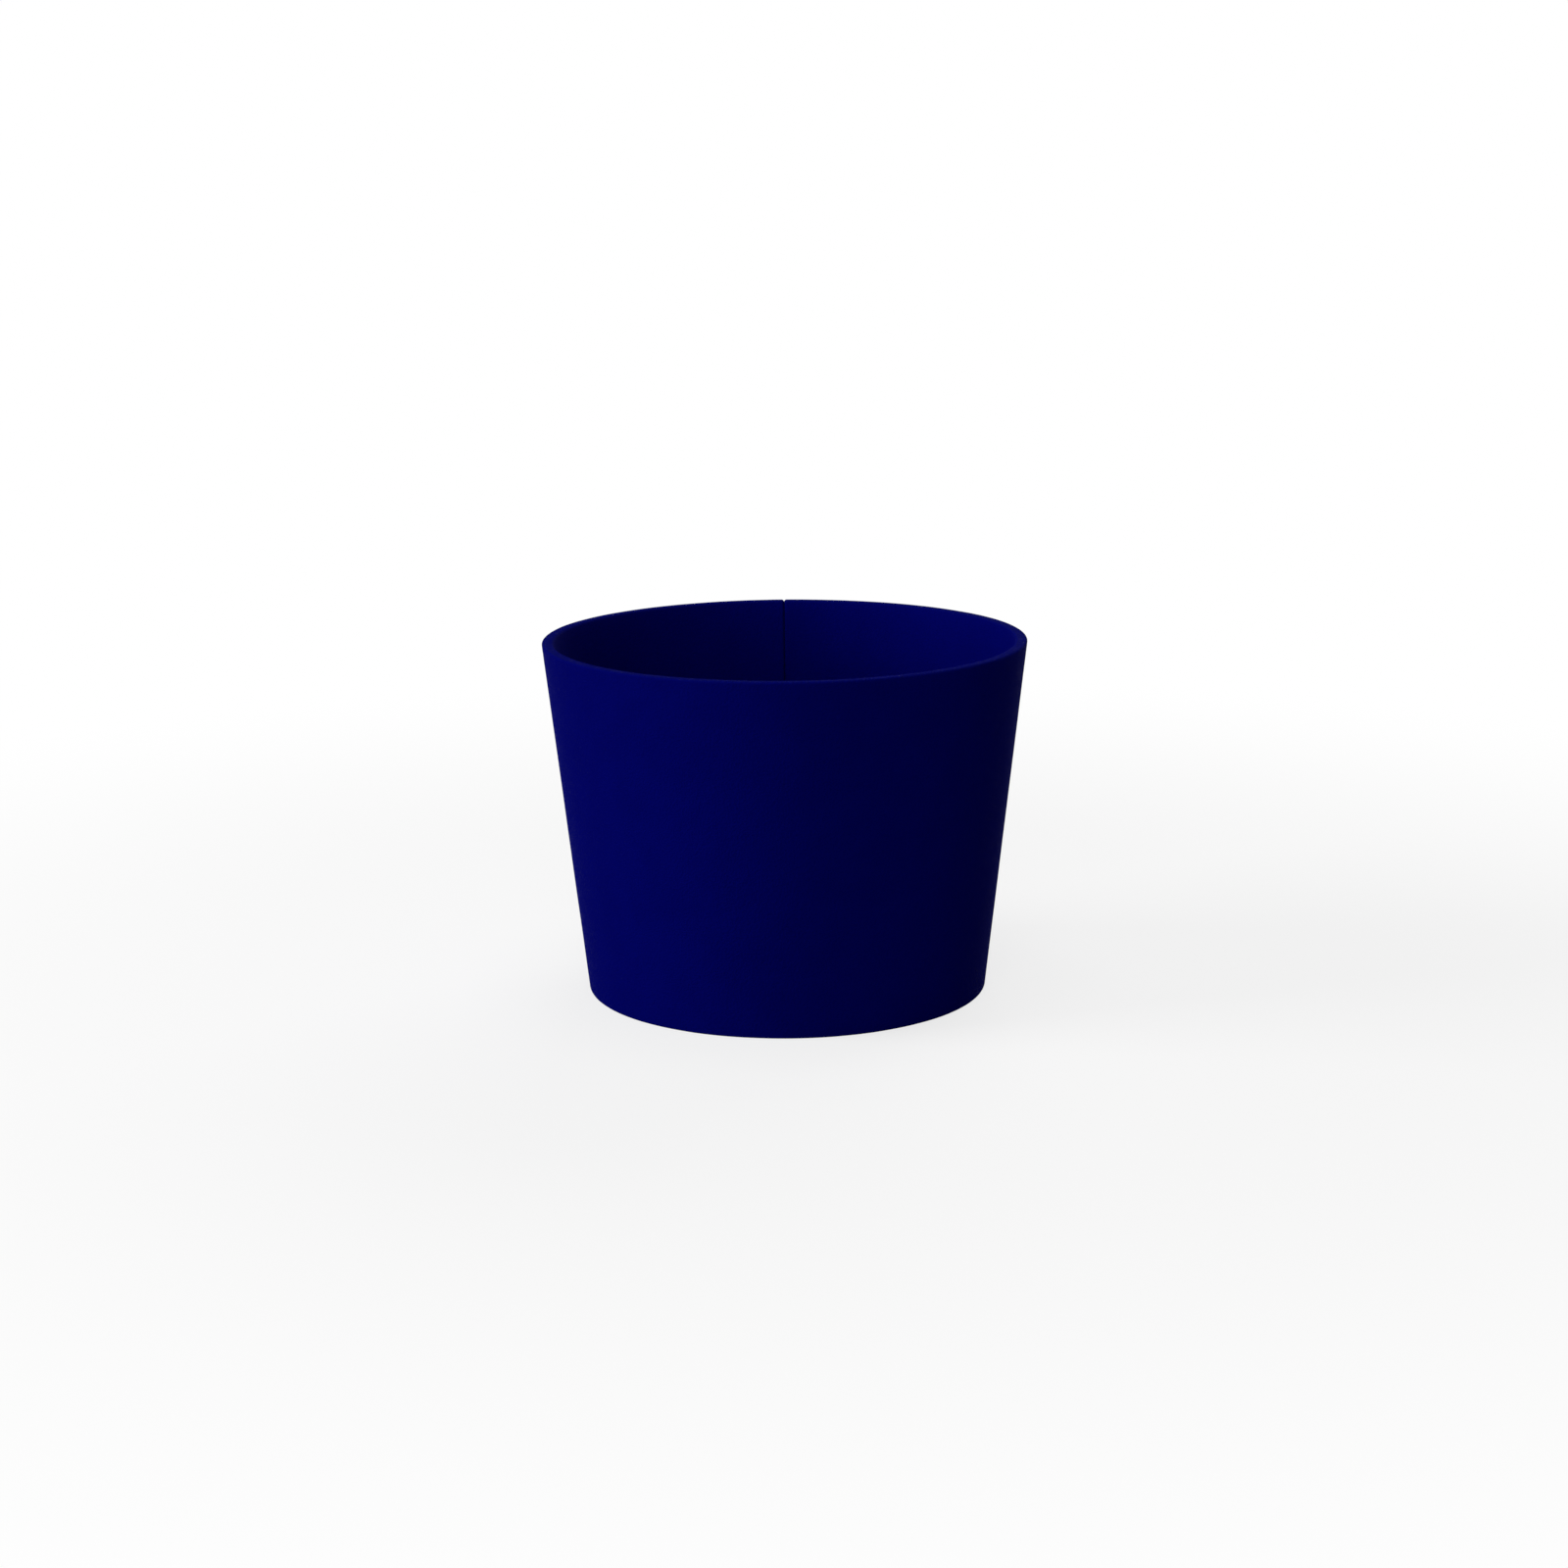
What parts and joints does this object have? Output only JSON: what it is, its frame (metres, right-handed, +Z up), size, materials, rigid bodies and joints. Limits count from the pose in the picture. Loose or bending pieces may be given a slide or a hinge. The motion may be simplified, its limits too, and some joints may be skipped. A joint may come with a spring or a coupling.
{
  "type": "foam cup sleeve",
  "caption": "Tapered open sleeve of soft closed-cell foam that slips over a takeaway hot cup to keep the hand cool.",
  "frame": {"origin": "on the axis, at the level of the narrow lower rim that the sleeve stands on", "axes": "+Z up the axis towards the wide upper rim, +Y towards the glued joint at the back, -Y towards the front"},
  "size_m": [0.0828, 0.0828, 0.061],
  "materials": {
    "navy_foam": "matte"
  },
  "bodies": {
    "root": {"foam_sleeve": "navy_foam"}
  },
  "joints": []
}
